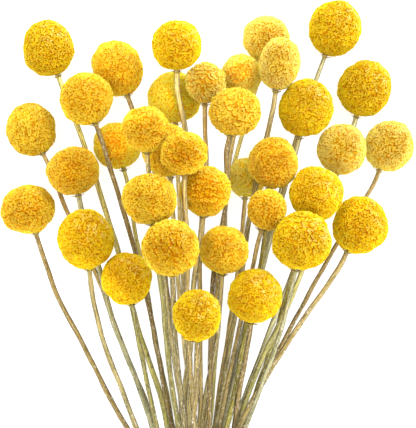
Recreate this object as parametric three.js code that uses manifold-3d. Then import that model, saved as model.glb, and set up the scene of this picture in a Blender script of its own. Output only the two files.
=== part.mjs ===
// Dried billy buttons: a bunch of globe flower heads on thin dry stems, bound with twine and lying on
// a flat surface. Millimetres, +Z up. The heads lie towards +Y, the cut stem ends towards -Y, and the
// bunch fans out along X. Every head and stem starts where it was laid and is then eased clear of the
// others, so that no two of them share space.

import * as THREE from "three";
import { ConvexGeometry } from "three/addons/geometries/ConvexGeometry.js";
import { mergeVertices } from "three/addons/utils/BufferGeometryUtils.js";
import Module from "manifold-3d";

// The places of the heads are read from straight above, from EYE_HEIGHT over the surface and at the
// scale of SEEN_LEVEL. A head that lies lower than that level is therefore a little further out.
const EYE_HEIGHT = 1200;
const SEEN_LEVEL = 45;

// Stems
const STEM_SIDES = 6;
const STEM_STEP = 28;
const COLLAR_RADIUS = 2;
const NECK_RADIUS = 1.15;
const TIED_RADIUS = 1.4;
const CUT_RADIUS = 1.5;
const COLLAR_LENGTH = 2.4;
const NECK_LENGTH = 9;
const HEAD_PULL = 0.8;
const TIE_PULL = 0.35;
const BOW = 2.5;
const WOBBLE = 1.2;
const TAIL_LENGTH = 126;
const TAIL_STEPS = 3;
const TAIL_FAN = 0.9;
const TAIL_STRAY = 3;
const CUT_STRAY = 9;

// Tie, and the places of the stems inside it: columns of stacked pairs, each pair pressed into one.
const TIE_Y = -172;
const TIE_X = -5.5;
const TIE_REACH = 7;
const COLUMN_SIZES = [4, 6, 8, 8, 6, 4];
const COLUMN_PITCH = 3.2;
const PRESSED_PITCH = 2.1;
const TWINE_DIAMETER = 2;
const TWINE_TURNS = 4;
const TWINE_SPACING = 1.85;
const TIE_SIDES = 20;
const TIE_LOOSENESS = 0.35;
const TIE_FLAT = 0.35;

// Heads
const FLORETS = 50;
const FLORET_RELIEF = 0.1;
const FLORET_UNEVEN = 0.02;
const BASE_LEVEL = 0.93;
const BASE_CONE = 0.955;
const SETTLE = 0.6;
const PRESSED_FLAT = 1.2;

// Clearances
const SEAT_GAP = 0.3;
const HEAD_GAP = 0.45;
const STEM_GAP = 0.4;
const FLOOR_GAP = 0.2;
const FAR = 5;

// Easing apart: how many times the heads and stems are moved a little, and how far each time. For
// the first passes a stem keeps over the heads laid before it and under those laid after it, and the
// last passes only part what still touches.
const PASSES = 420;
const ORDERED_PASSES = 260;
const SINKING_PASSES = 357;
const SINK = 0.12;
const LARGEST_MOVE = 4;
const HEAD_PART = 0.6;
const STEM_PART = 0.55;
const HEAD_SHARE = 0.25;
const CROSSING_SHARE = 0.8;
const MIN_SLOPE = 0.3;
const SIDE_BY_SIDE = 0.84;
const SIDESTEP = 1.3;
const SIDESTEP_SHARE = 0.4;
const CLIMB_SHARE = 0.5;
const SIDE_BY_SIDE_CLIMB = 0.1;
const UPPER_SHARE = 1.5;
const LOWER_SHARE = 0.5;
const EVENING = 0.4;
const MAX_PITCH = 0.5;
const PITCH_SHARE = 0.1;
const PITCH_PLACE = 4;

// Each flower in the order in which it was laid down, the lowest first:
// [x, y, width across, length along the stem, lean to the right in degrees, colour of the florets,
// and for a few stems how far they bow to the right].
const FLOWERS = [
  [-15.5, 59, 26, 26, -2, "gold"],
  [-46, 72, 25, 28.5, -20, "gold"],
  [29.5, 86.5, 23, 23, 10, "dusty"],
  [-80, 83, 26, 28.5, -20, "lemon"],
  [63.5, 93, 27, 28.5, 20, "lemon"],
  [-88.5, 42.5, 24.5, 26, -26, "gold"],
  [78.5, 63, 26.5, 29, 17, "lemon", -4],
  [89.5, 34, 24, 25.5, 22, "dusty", -8],
  [-90, 2.5, 28, 24.5, -18, "gold"],
  [20.5, 18.5, 20, 20, 5, "dusty"],
  [-15, 83.5, 25, 26, 0, "lemon", -1],
  [-21, 33, 27, 27, -5, "gold"],
  [-45, 34, 24, 24.5, -15, "amber"],
  [-1, 64.5, 20, 21, 0, "dusty"],
  [17.5, 70.5, 21, 20.5, 5, "dusty"],
  [36.5, 74.5, 20, 28, 8, "dusty"],
  [-60, 58.5, 26.5, 26, -20, "gold"],
  [66, 33.5, 25.5, 25, 18, "dusty", -3],
  [50, 54, 27.5, 29.5, 14, "lemon"],
  [12.5, 52.5, 26.5, 24.5, 12, "amber"],
  [-13, 31, 24, 21, 0, "gold"],
  [-30, 42, 24, 23.5, -3, "gold"],
  [-66.5, 22, 27, 24, -12, "amber"],
  [-29, 8, 27.5, 26, -6, "gold"],
  [-2, 13, 26, 26, 5, "gold"],
  [33.5, 25, 25, 26, 8, "amber"],
  [30.5, 1.5, 20, 21, 15, "gold"],
  [53.5, 9.5, 27.5, 27, 15, "lemon"],
  [8, -18, 24.5, 24.5, 4, "gold"],
  [46, -12.5, 30, 30, 12, "lemon"],
  [75, -4.5, 28, 29, 26, "lemon", -10],
  [-60.5, -13, 28.5, 30, -6, "lemon", -2],
  [-19.5, -17, 29.5, 28, -3, "gold"],
  [23.5, -41, 27.5, 28, 8, "lemon"],
  [-40.5, -31, 25.5, 26.5, -10, "lemon"],
  [-5.5, -50.5, 25, 26.5, 0, "lemon"],
];

const COLOURS = {
  lemon: 0xe3b71f,
  gold: 0xdba51f,
  amber: 0xd3921d,
  dusty: 0xdcb24a,
  straw: 0xb3a262,
  olive: 0x968c4c,
  brown: 0x87663f,
  twine: 0xb79b6c,
};
const STEM_COLOURS = ["straw", "olive", "straw", "brown"];

const wasm = await Module();
wasm.setup();

// Repeatable random numbers from -1 to 1.
function strayFrom(seed) {
  let state = seed;
  return () => {
    state = (state + 0x6d2b79f5) | 0;
    let mixed = Math.imul(state ^ (state >>> 15), 1 | state);
    mixed = (mixed + Math.imul(mixed ^ (mixed >>> 7), 61 | mixed)) ^ mixed;
    return ((mixed ^ (mixed >>> 14)) >>> 0) / 2147483648 - 1;
  };
}

// The tie lies on the surface, and its middle is therefore its outer radius above it.
const tallestColumn = Math.max(...COLUMN_SIZES);
const stackHeight = (size) => (size / 2) * PRESSED_PITCH + (size / 2 - 1) * COLUMN_PITCH;
const bundleRadius = Math.hypot(COLUMN_PITCH / 2, stackHeight(tallestColumn) / 2) + TIED_RADIUS;
const tieInner = bundleRadius + TIE_LOOSENESS;
const tieOuter = tieInner + TWINE_DIAMETER;
const tieGroove = tieOuter - 0.35 * TWINE_DIAMETER;
const tieHeight = tieOuter - TIE_FLAT;

// A head's reach from its middle in a given direction: it is an ellipsoid with its length on its axis.
function reachOf(flower, direction) {
  const along = direction.dot(flower.axis);
  const across = 1 - along * along;
  return 1 / Math.sqrt((2 * along / flower.length) ** 2 + across * (2 / flower.width) ** 2);
}

// Puts a head where it is seen, at the size that it is seen, for the height that it has now.
function placeHead(flower) {
  const drawnIn = (EYE_HEIGHT - flower.centre.z) / (EYE_HEIGHT - SEEN_LEVEL);
  flower.sidestep.clampLength(0, SIDESTEP);
  flower.centre.x = (flower.seenX + flower.sidestep.x) * drawnIn;
  flower.centre.y = (flower.seenY + flower.sidestep.y) * drawnIn;
  flower.width = flower.seenWidth * drawnIn;
  flower.length = flower.seenLength * drawnIn;
}

// The head's axis keeps its lean and takes the pitch of the stem below it.
function aimHead(flower, pitch) {
  flower.pitch = THREE.MathUtils.clamp(pitch, -MAX_PITCH, MAX_PITCH);
  const flat = Math.cos(flower.pitch);
  flower.axis.set(
    flat * Math.sin(flower.lean),
    flat * Math.cos(flower.lean),
    Math.sin(flower.pitch),
  );
}

// The first places of a stem belong to its head: its flat end, its collar and its neck.
const NECK_PLACES = [0, COLLAR_LENGTH, NECK_LENGTH];

function neckPlaces(flower) {
  const seat = BASE_LEVEL * flower.length / 2 + SEAT_GAP;
  return NECK_PLACES.map((down) =>
    flower.centre.clone().addScaledVector(flower.axis, -seat - down));
}

const flowers = FLOWERS.map(([x, y, width, length, lean, colour, bow], order) => ({
  order,
  seenX: x,
  seenY: y,
  seenWidth: width,
  seenLength: length,
  width,
  length,
  sidestep: new THREE.Vector2(),
  lean: THREE.MathUtils.degToRad(lean),
  colour,
  bow,
  centre: new THREE.Vector3(x, y, width / 2 - SETTLE),
  axis: new THREE.Vector3(),
  pitch: 0,
}));

// Lay the heads down one after the other, each as low as the ones already there allow.
for (const flower of flowers) {
  aimHead(flower, 0);
  for (const lower of flowers.slice(0, flower.order)) {
    const apart = Math.hypot(flower.seenX - lower.seenX, flower.seenY - lower.seenY);
    const touch = (flower.width + flower.length + lower.width + lower.length) / 4 + HEAD_GAP;
    if (apart < SIDE_BY_SIDE * touch) {
      const climb = Math.sqrt(touch * touch - apart * apart);
      flower.centre.z = Math.max(flower.centre.z, lower.centre.z + climb);
    }
  }
  placeHead(flower);
}

// Share out the places inside the tie: columns from left to right, and each column from the bottom.
const fanAngle = (flower) => Math.atan2(flower.seenX - TIE_X, flower.seenY - TIE_Y);
const leftToRight = [...flowers].sort((one, other) => fanAngle(one) - fanAngle(other));
const pairs = [];
COLUMN_SIZES.forEach((size, column) => {
  const stack = leftToRight.splice(0, size).sort((one, other) => one.order - other.order);
  stack.forEach((flower, level) => {
    const pair = Math.floor(level / 2);
    const pairHeight = (pair - (size / 2 - 1) / 2) * (PRESSED_PITCH + COLUMN_PITCH);
    const ownHeight = (level % 2 - 0.5) * PRESSED_PITCH;
    flower.slot = new THREE.Vector3(
      TIE_X + (column - (COLUMN_SIZES.length - 1) / 2) * COLUMN_PITCH,
      TIE_Y,
      tieHeight + pairHeight + ownHeight,
    );
    flower.partner = stack[level + 1 - 2 * (level % 2)];
    if (level % 2 === 1) {
      pairs.push([flower.partner, flower]);
    }
  });
});

// First course of each stem: out of the head along its axis, in a curve to the tie, straight through
// it and on to the cut end with a slight fan.
for (const flower of flowers) {
  const stray = strayFrom(flower.order + 11);
  const neck = neckPlaces(flower);
  const tieTop = flower.slot.clone().setY(TIE_Y + TIE_REACH);
  const tieBottom = flower.slot.clone().setY(TIE_Y - TIE_REACH);
  const from = neck.at(-1);
  const distance = from.distanceTo(tieTop);
  const steps = Math.max(2, Math.round(distance / STEM_STEP));
  const leave = flower.axis.clone().multiplyScalar(-HEAD_PULL * distance);
  const arrive = new THREE.Vector3(0, -TIE_PULL * distance, 0);
  const bow = flower.bow ?? BOW * stray();
  const course = [];
  for (let step = 1; step < steps; step++) {
    const t = step / steps;
    const sideways = bow * Math.sin(Math.PI * t) + WOBBLE * stray();
    course.push(new THREE.Vector3(sideways, 0, WOBBLE * stray())
      .addScaledVector(from, 2 * t ** 3 - 3 * t ** 2 + 1)
      .addScaledVector(leave, t ** 3 - 2 * t ** 2 + t)
      .addScaledVector(tieTop, 3 * t ** 2 - 2 * t ** 3)
      .addScaledVector(arrive, t ** 3 - t ** 2));
  }
  const lowest = tieHeight - stackHeight(tallestColumn) / 2;
  const tailStray = TAIL_STRAY * stray();
  const tailLength = TAIL_LENGTH + CUT_STRAY * stray();
  const tail = [];
  for (let step = 1; step <= TAIL_STEPS; step++) {
    const t = step / TAIL_STEPS;
    const fan = 1 + TAIL_FAN * t;
    tail.push(new THREE.Vector3(
      TIE_X + (flower.slot.x - TIE_X) * fan + tailStray * t,
      tieBottom.y - tailLength * t,
      lowest + (flower.slot.z - lowest) * fan,
    ));
  }
  flower.path = [...neck, ...course, tieTop, tieBottom, ...tail];
  flower.first = flower.path.map((place) => place.clone());
  flower.tieIndex = neck.length + course.length;
  flower.radii = flower.path.map((place, index) => {
    if (index === 0) {
      return COLLAR_RADIUS;
    }
    if (place.y > TIE_Y) {
      const down = (index - 1) / (flower.tieIndex - 1);
      return THREE.MathUtils.lerp(NECK_RADIUS, TIED_RADIUS, down);
    }
    return place.y < tieBottom.y ? CUT_RADIUS : TIED_RADIUS;
  });
}

// Nearest places on two straight pieces of stem, as shares of their lengths.
function nearestShares(a0, a1, b0, b1) {
  const a = a1.clone().sub(a0);
  const b = b1.clone().sub(b0);
  const between = a0.clone().sub(b0);
  const aa = a.dot(a);
  const bb = b.dot(b);
  const ab = a.dot(b);
  const ac = a.dot(between);
  const bc = b.dot(between);
  const spread = aa * bb - ab * ab;
  let s = spread > 1e-9 ? THREE.MathUtils.clamp((ab * bc - ac * bb) / spread, 0, 1) : 0.5;
  const t = THREE.MathUtils.clamp((ab * s + bc) / bb, 0, 1);
  s = THREE.MathUtils.clamp((ab * t - ac) / aa, 0, 1);
  return [s, t];
}

// Moves one place of a stem. The neck only goes up and down, with its head; the tie holds the rest.
function nudge(flower, index, shift) {
  if (index < NECK_PLACES.length) {
    flower.centre.z += shift.z * HEAD_SHARE;
  } else if (index < flower.tieIndex || index > flower.tieIndex + 1) {
    flower.path[index].add(shift);
  }
}

function partHeads() {
  for (const upper of flowers) {
    for (const lower of flowers.slice(0, upper.order)) {
      const apart = upper.centre.clone().sub(lower.centre);
      const distance = apart.length();
      const direction = apart.clone().divideScalar(distance);
      const touch = reachOf(upper, direction) + reachOf(lower, direction) + HEAD_GAP;
      if (distance < touch) {
        const flat = Math.hypot(apart.x, apart.y);
        const climb = Math.sqrt(Math.max(0, touch * touch - flat * flat)) - Math.abs(apart.z);
        const aside = (touch - distance) * SIDESTEP_SHARE;
        const sidestep = new THREE.Vector2(apart.x, apart.y).setLength(aside);
        upper.sidestep.add(sidestep);
        lower.sidestep.sub(sidestep);
        const share = flat > SIDE_BY_SIDE * touch ? SIDE_BY_SIDE_CLIMB : CLIMB_SHARE;
        const move = Math.sign(apart.z) * climb * share;
        upper.centre.z += move * UPPER_SHARE;
        lower.centre.z -= move * LOWER_SHARE;
      }
    }
  }
}

function partStemsFromHeads(ordered) {
  for (const stem of flowers) {
    for (const head of flowers) {
      if (head === stem) {
        continue;
      }
      for (let index = 0; index < stem.tieIndex; index++) {
        const from = stem.path[index];
        const to = stem.path[index + 1];
        const reach = head.length / 2 + FAR;
        if (to.y > head.centre.y + reach || from.y < head.centre.y - reach) {
          continue;
        }
        const run = to.clone().sub(from);
        const share = THREE.MathUtils.clamp(
          head.centre.clone().sub(from).dot(run) / run.lengthSq(), 0, 1);
        const place = from.clone().addScaledVector(run, share);
        const apart = place.clone().sub(head.centre);
        const distance = apart.length();
        const direction = apart.clone().divideScalar(distance);
        const radius = THREE.MathUtils.lerp(stem.radii[index], stem.radii[index + 1], share);
        const touch = reachOf(head, direction) + radius + HEAD_GAP;
        if (distance >= touch) {
          continue;
        }
        const side = head.order > stem.order ? -1 : 1;
        const flat = Math.hypot(apart.x, apart.y);
        let depth = touch - distance;
        if (ordered && flat < CROSSING_SHARE * touch) {
          const wanted = side * Math.sqrt(touch * touch - flat * flat);
          direction.set(0, 0, side);
          depth = Math.abs(wanted - apart.z);
        }
        const move = Math.min(depth, LARGEST_MOVE) * HEAD_PART;
        const shift = direction.clone().multiplyScalar(move);
        nudge(stem, index, shift.clone().multiplyScalar(1 - share));
        nudge(stem, index + 1, shift.clone().multiplyScalar(share));
        if (Math.abs(direction.z) > MIN_SLOPE) {
          head.centre.z -= Math.sign(direction.z) * HEAD_SHARE * move;
        }
      }
    }
  }
}

function partStems() {
  for (const one of flowers) {
    for (const other of flowers.slice(0, one.order)) {
      for (let i = 0; i + 1 < one.path.length; i++) {
        for (let j = 0; j + 1 < other.path.length; j++) {
          const [a0, a1] = [one.path[i], one.path[i + 1]];
          const [b0, b1] = [other.path[j], other.path[j + 1]];
          const farAlong = a1.y > b0.y + FAR || b1.y > a0.y + FAR;
          const farRight = Math.min(a0.x, a1.x) > Math.max(b0.x, b1.x) + FAR;
          const farLeft = Math.min(b0.x, b1.x) > Math.max(a0.x, a1.x) + FAR;
          if (farAlong || farRight || farLeft) {
            continue;
          }
          const nearTie = Math.abs(i - one.tieIndex) < 2 && Math.abs(j - other.tieIndex) < 2;
          if (one.partner === other && nearTie) {
            continue;
          }
          const [s, t] = nearestShares(a0, a1, b0, b1);
          const apart = a0.clone().lerp(a1, s).sub(b0.clone().lerp(b1, t));
          const touch = THREE.MathUtils.lerp(one.radii[i], one.radii[i + 1], s)
            + THREE.MathUtils.lerp(other.radii[j], other.radii[j + 1], t) + STEM_GAP;
          const distance = apart.length();
          if (distance >= touch) {
            continue;
          }
          const shift = apart.normalize().multiplyScalar((touch - distance) * STEM_PART);
          nudge(one, i, shift.clone().multiplyScalar(1 - s));
          nudge(one, i + 1, shift.clone().multiplyScalar(s));
          nudge(other, j, shift.clone().multiplyScalar(t - 1));
          nudge(other, j + 1, shift.clone().multiplyScalar(-t));
        }
      }
    }
  }
}

// Spreads each stem's moves along it, so that it bends gently.
function evenOut(flower) {
  const moved = flower.path.map((place, index) => place.clone().sub(flower.first[index]));
  for (let index = NECK_PLACES.length; index + 1 < flower.path.length; index++) {
    if (index === flower.tieIndex || index === flower.tieIndex + 1) {
      continue;
    }
    const around = moved[index - 1].clone().lerp(moved[index + 1], 0.5);
    flower.path[index].lerp(around.add(flower.first[index]), EVENING);
  }
}

function keepAboveFloor(flower) {
  flower.centre.z = Math.max(flower.centre.z, flower.width / 2 - SETTLE);
  flower.path.forEach((place, index) => {
    place.z = Math.max(place.z, flower.radii[index] + FLOOR_GAP);
  });
}

for (let pass = 0; pass < PASSES; pass++) {
  if (pass < SINKING_PASSES) {
    for (const flower of flowers) {
      flower.centre.z -= SINK;
      evenOut(flower);
    }
  }
  partStems();
  partStemsFromHeads(pass < ORDERED_PASSES);
  partHeads();
  for (const flower of flowers) {
    keepAboveFloor(flower);
    placeHead(flower);
    const fall = flower.centre.clone().sub(flower.path[PITCH_PLACE]);
    const slope = Math.atan2(fall.z, Math.hypot(fall.x, fall.y));
    aimHead(flower, THREE.MathUtils.lerp(flower.pitch, slope, PITCH_SHARE));
    neckPlaces(flower).forEach((place, index) => flower.path[index].copy(place));
  }
}

// Shape of a head with a radius of 1: florets on a spiral lattice, each a low six-sided point with
// its own height, and the hollows between them where three florets meet.
function floretShell(seed) {
  const stray = strayFrom(seed);
  const turn = Math.PI * (3 - Math.sqrt(5));
  const tips = [];
  for (let index = 0; index < FLORETS; index++) {
    const level = 1 - (2 * index + 1) / FLORETS;
    const ring = Math.sqrt(1 - level * level);
    const angle = index * turn;
    tips.push(new THREE.Vector3(ring * Math.cos(angle), ring * Math.sin(angle), level));
  }
  const hull = new ConvexGeometry(tips).getAttribute("position");
  const points = tips.map((tip) => tip.clone());
  const tipAt = (corner) => {
    const place = new THREE.Vector3().fromBufferAttribute(hull, corner);
    return tips.findIndex((tip) => tip.distanceToSquared(place) < 1e-8);
  };
  const hollowBeside = new Map();
  for (let corner = 0; corner < hull.count; corner += 3) {
    const meeting = [tipAt(corner), tipAt(corner + 1), tipAt(corner + 2)];
    const hollow = new THREE.Vector3();
    meeting.forEach((tip) => hollow.add(tips[tip]));
    const hollowIndex = points.push(hollow.setLength(1 - FLORET_RELIEF)) - 1;
    meeting.forEach((tip, side) => {
      hollowBeside.set(`${tip},${meeting[(side + 1) % 3]}`, hollowIndex);
    });
  }
  const triangles = [];
  for (const [edge, leftHollow] of hollowBeside) {
    const [from, to] = edge.split(",").map(Number);
    triangles.push(from, hollowBeside.get(`${to},${from}`), leftHollow);
  }
  points.forEach((point, index) => {
    if (index < FLORETS) {
      point.setLength(1 - FLORET_UNEVEN * (1 + stray()));
    }
    if (point.z < -BASE_CONE * point.length()) {
      point.z = -BASE_LEVEL;
    }
  });
  return { points, triangles };
}

function closedGeometry(points, triangles) {
  const geometry = new THREE.BufferGeometry();
  geometry.setAttribute("position",
    new THREE.Float32BufferAttribute(points.flatMap((point) => point.toArray()), 3));
  geometry.setIndex(triangles);
  return geometry;
}

function headGeometry(flower) {
  const { points, triangles } = floretShell(flower.order + 101);
  const turned = new THREE.Quaternion()
    .setFromUnitVectors(new THREE.Vector3(0, 0, 1), flower.axis);
  for (const point of points) {
    point.multiply(new THREE.Vector3(flower.width / 2, flower.width / 2, flower.length / 2));
    point.applyQuaternion(turned).add(flower.centre);
    if (point.z < PRESSED_FLAT) {
      point.z = 0;
    }
  }
  return closedGeometry(points, triangles);
}

function stemGeometry(flower) {
  const { path, radii } = flower;
  const points = [];
  const side = new THREE.Vector3(0, 0, 1);
  path.forEach((place, index) => {
    const along = new THREE.Vector3();
    if (index < 2) {
      along.copy(flower.axis).negate();
    } else if (index + 1 < path.length) {
      const before = place.clone().sub(path[index - 1]).normalize();
      const after = path[index + 1].clone().sub(place).normalize();
      along.copy(before).add(after).normalize();
    } else {
      along.copy(place).sub(path[index - 1]).normalize();
    }
    side.addScaledVector(along, -side.dot(along)).normalize();
    const across = along.clone().cross(side);
    for (let corner = 0; corner < STEM_SIDES; corner++) {
      const angle = 2 * Math.PI * corner / STEM_SIDES;
      points.push(place.clone()
        .addScaledVector(side, radii[index] * Math.cos(angle))
        .addScaledVector(across, radii[index] * Math.sin(angle)));
    }
  });
  const triangles = [];
  for (let ring = 0; ring + 1 < path.length; ring++) {
    for (let corner = 0; corner < STEM_SIDES; corner++) {
      const here = ring * STEM_SIDES + corner;
      const beside = ring * STEM_SIDES + (corner + 1) % STEM_SIDES;
      triangles.push(here, beside, here + STEM_SIDES);
      triangles.push(beside, beside + STEM_SIDES, here + STEM_SIDES);
    }
  }
  const lastRing = (path.length - 1) * STEM_SIDES;
  for (let corner = 1; corner + 1 < STEM_SIDES; corner++) {
    triangles.push(0, corner + 1, corner);
    triangles.push(lastRing, lastRing + corner, lastRing + corner + 1);
  }
  return closedGeometry(points, triangles);
}

function toSolid(geometry) {
  const plain = geometry.clone();
  plain.deleteAttribute("normal");
  plain.deleteAttribute("uv");
  const merged = mergeVertices(plain, 1e-4);
  return new wasm.Manifold(new wasm.Mesh({
    numProp: 3,
    vertProperties: new Float32Array(merged.getAttribute("position").array),
    triVerts: new Uint32Array(merged.getIndex().array),
  }));
}

function toGeometry(solid) {
  const mesh = solid.getMesh();
  const geometry = new THREE.BufferGeometry();
  geometry.setAttribute("position", new THREE.Float32BufferAttribute(mesh.vertProperties, 3));
  geometry.setIndex([...mesh.triVerts]);
  return geometry;
}

// Turns of twine side by side round the bundle, with a small flat where they lie on the surface.
function tieGeometry() {
  const profile = [];
  const halfWidth = TWINE_TURNS * TWINE_SPACING / 2;
  profile.push(new THREE.Vector2(tieInner, halfWidth));
  profile.push(new THREE.Vector2(tieInner, -halfWidth));
  for (let turn = 0; turn < TWINE_TURNS; turn++) {
    const from = -halfWidth + turn * TWINE_SPACING;
    profile.push(new THREE.Vector2(tieGroove, from));
    profile.push(new THREE.Vector2(tieOuter, from + 0.3 * TWINE_SPACING));
    profile.push(new THREE.Vector2(tieOuter, from + 0.7 * TWINE_SPACING));
  }
  profile.push(new THREE.Vector2(tieGroove, halfWidth));
  profile.push(profile[0].clone());
  const wrap = new THREE.LatheGeometry(profile, TIE_SIDES);
  wrap.translate(TIE_X, TIE_Y, tieHeight);
  const under = new THREE.BoxGeometry(4 * tieOuter, 4 * tieOuter, 2 * tieOuter);
  under.translate(TIE_X, TIE_Y, -tieOuter);
  return toGeometry(toSolid(wrap).subtract(toSolid(under)));
}

const bunch = new THREE.Group();

function addPiece(name, geometry, colour) {
  const material = new THREE.MeshStandardMaterial({
    color: COLOURS[colour],
    roughness: 0.9,
    metalness: 0,
  });
  const piece = new THREE.Mesh(geometry, material);
  piece.name = name;
  bunch.add(piece);
}

const numbered = (name, index) => `${name}_${String(index + 1).padStart(2, "0")}`;

flowers.forEach((flower, index) => {
  addPiece(numbered("head", index), headGeometry(flower), flower.colour);
});
pairs.forEach(([one, other], index) => {
  const joined = toSolid(stemGeometry(one)).add(toSolid(stemGeometry(other)));
  addPiece(numbered("stems", index), toGeometry(joined), STEM_COLOURS[index % STEM_COLOURS.length]);
});
addPiece("tie", tieGeometry(), "twine");

// The origin is the middle of the bunch's footprint on the surface.
const box = new THREE.Box3().setFromObject(bunch);
const middle = box.getCenter(new THREE.Vector3());
for (const piece of bunch.children) {
  piece.geometry.translate(-middle.x, -middle.y, -box.min.z);
}

export default bunch;
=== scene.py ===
import math

import bmesh
import bpy
import numpy as np
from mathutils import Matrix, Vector


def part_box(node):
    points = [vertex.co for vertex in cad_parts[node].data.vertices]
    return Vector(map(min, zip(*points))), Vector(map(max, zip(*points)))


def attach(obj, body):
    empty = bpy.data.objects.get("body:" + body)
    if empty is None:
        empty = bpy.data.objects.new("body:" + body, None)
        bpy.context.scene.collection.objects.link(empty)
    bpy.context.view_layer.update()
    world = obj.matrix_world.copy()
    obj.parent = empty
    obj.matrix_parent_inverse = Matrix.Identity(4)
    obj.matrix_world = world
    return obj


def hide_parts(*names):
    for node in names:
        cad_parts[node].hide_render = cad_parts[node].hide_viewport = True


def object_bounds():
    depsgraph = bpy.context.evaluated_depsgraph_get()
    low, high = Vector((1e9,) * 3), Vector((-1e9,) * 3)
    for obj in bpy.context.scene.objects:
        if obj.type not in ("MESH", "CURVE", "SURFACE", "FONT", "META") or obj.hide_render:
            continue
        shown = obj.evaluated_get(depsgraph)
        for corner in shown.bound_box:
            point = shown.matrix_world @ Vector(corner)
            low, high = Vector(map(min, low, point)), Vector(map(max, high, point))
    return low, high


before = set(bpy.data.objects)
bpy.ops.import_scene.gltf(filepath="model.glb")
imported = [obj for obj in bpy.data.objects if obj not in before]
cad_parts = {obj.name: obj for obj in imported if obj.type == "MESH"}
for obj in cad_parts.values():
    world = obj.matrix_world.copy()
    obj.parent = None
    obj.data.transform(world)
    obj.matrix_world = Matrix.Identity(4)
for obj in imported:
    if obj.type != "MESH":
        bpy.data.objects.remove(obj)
cad_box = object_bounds()

# Stems
# Each flower stands on one thin, leafless stem, dried to brown, straw or olive, with fine ribs and
# remains of pale wool. Thirty-six of them run side by side through the tie to their cut ends.

FLOWER_COUNT = 36
STEM_CORNERS = 6
TIE_REACH = 0.007
TIE_MARGIN = 0.002
ABOVE_TIE = 0.012
BELOW_TIE = 0.045
PRESSED_HALF = 0.00105
STEM_SAMPLE = 0.0034
STEM_INTO_HEAD = 0.0016
STEM_FLARE = 1.45
STEM_SWAY = 0.00026
SWAY_PACES = (210, 130, 330, 75)
STILL_BY_HEAD = 0.02
STILL_BY_TIE = 0.03
STEM_UNEVENNESS = 0.05
UNEVEN_PACES = (260, 90)
THINNEST_STEM = 0.8
THICKEST_STEM = 1.06
STEM_SEED = 7
RIB_COUNT = 8
RIB_DEPTH = 0.1
RIB_TWIST = 38.0
MOST_SIDE_CORNERS = 4.5
FLOOR_GAP = 0.0001
FULL_TURN = 6.28

# The hairs of the wool. A hair's shape is given in its own thickness across and its own length along.
HAIRS_ON_STEM = 26000.0
HAIR_RADIUS = 0.00005
HAIR_LENGTH = 0.0016
SHORTEST_HAIR = 0.4
LONGEST_HAIR = 1.3
HAIR_BEND = ((0.0, -0.15), (0.0, 0.3), (4.0, 0.7))
HAIR_POINT = (12.0, 1.0)
HAIR_CORNERS = (0.0, 2.1, 4.2)
HAIR_SEED = 2

# How each stem has dried, in the order of the flowers, as the photograph shows it.
STEM_FINISHES = """
straw brown khaki khaki grey brown grey brown brown tan straw straw khaki tan tan straw
brown khaki grey brown tan straw grey khaki straw olive tan olive straw grey tan straw
straw brown khaki tan
""".split()

# The undermost stems are painted lightest and the topmost darkest: painted light that makes up for the shade
# deep in the bunch.
UNDERMOST_PAINTED_LIGHT = 1.27
TOPMOST_PAINTED_LIGHT = 0.45

# Which stems have dried darker than their neighbours, by the numbers of their flowers.
DARK_STEMS = (2, 5, 8, 9, 16, 17, 20, 24, 33)
DARK_STEM = 0.7

FINISH_TINTS = {"brown": 0.0, "tan": 0.2, "straw": 0.4, "olive": 0.6, "khaki": 0.8, "grey": 1.0}
TINT_COLOURS = {
    "brown": (0.42, 0.30, 0.10),
    "tan": (0.58, 0.44, 0.155),
    "straw": (0.69, 0.575, 0.235),
    "olive": (0.49, 0.44, 0.10),
    "khaki": (0.56, 0.52, 0.165),
    "grey": (0.52, 0.51, 0.28),
}
STEM_WOOL = (0.80, 0.76, 0.64, 1.0)
STEM_PITH = (0.74, 0.67, 0.47, 1.0)
STEM_RIND = (0.30, 0.23, 0.10, 1.0)
STEM_SCAR = (0.13, 0.10, 0.06, 1.0)

# The grain of the fibres, of the flecks of wool and of the scars. A pace is how fast a grain changes
# along the stem, and each stem starts at a place of its own.
FIBRE_GRAIN = {"Scale": 2.6, "Detail": 5.0, "Roughness": 0.68}
FIBRE_PACE = 40.0
WOOL_GRAIN = {"Scale": 1.9, "Detail": 5.0, "Roughness": 0.7}
WOOL_PACE = 300.0
SCAR_GRAIN = {"Scale": 1.3, "Detail": 3.0}
SCAR_SHIFT = (7.0, 3.0, 0.0)
STEM_STARTS = 91.0

# How light each of these makes the stem, and how much of it the wool, the scars and the rind cover.
STREAKS = {"From Min": 0.37, "From Max": 0.63, "To Min": 0.36, "To Max": 1.44}
# Painted light: a stem is lighter near its head, where the head shades it, and a little darker further down.
PAINTED_LIGHT_BY_THE_HEAD = {"From Max": 0.1, "To Min": 1.35, "To Max": 0.93}
# Painted shade: the grooves between the ribs are darker.
PAINTED_GROOVE_SHADE = {"To Min": 0.82, "To Max": 1.06}
# Painted shade: the sides and underside of a stem are darker and its upper side lighter, as if lit from
# above.
PAINTED_SIDE_SHADE = {"From Min": 0.3, "From Max": 0.9, "To Min": 0.38, "To Max": 1.22}
WOOL_COVER = {"From Min": 0.56, "From Max": 0.63, "To Max": 0.85}
SCAR_COVER = {"From Min": 0.62, "From Max": 0.67, "To Max": 0.75}
RIND_COVER = {"From Min": 0.62, "From Max": 0.92}
FIBRE_RELIEF = {"Strength": 0.5, "Distance": 0.0003}
STEM_SURFACE = {"Roughness": 0.72, "Specular IOR Level": 0.3, "Sheen Weight": 0.12, "Sheen Roughness": 0.5}


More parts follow.
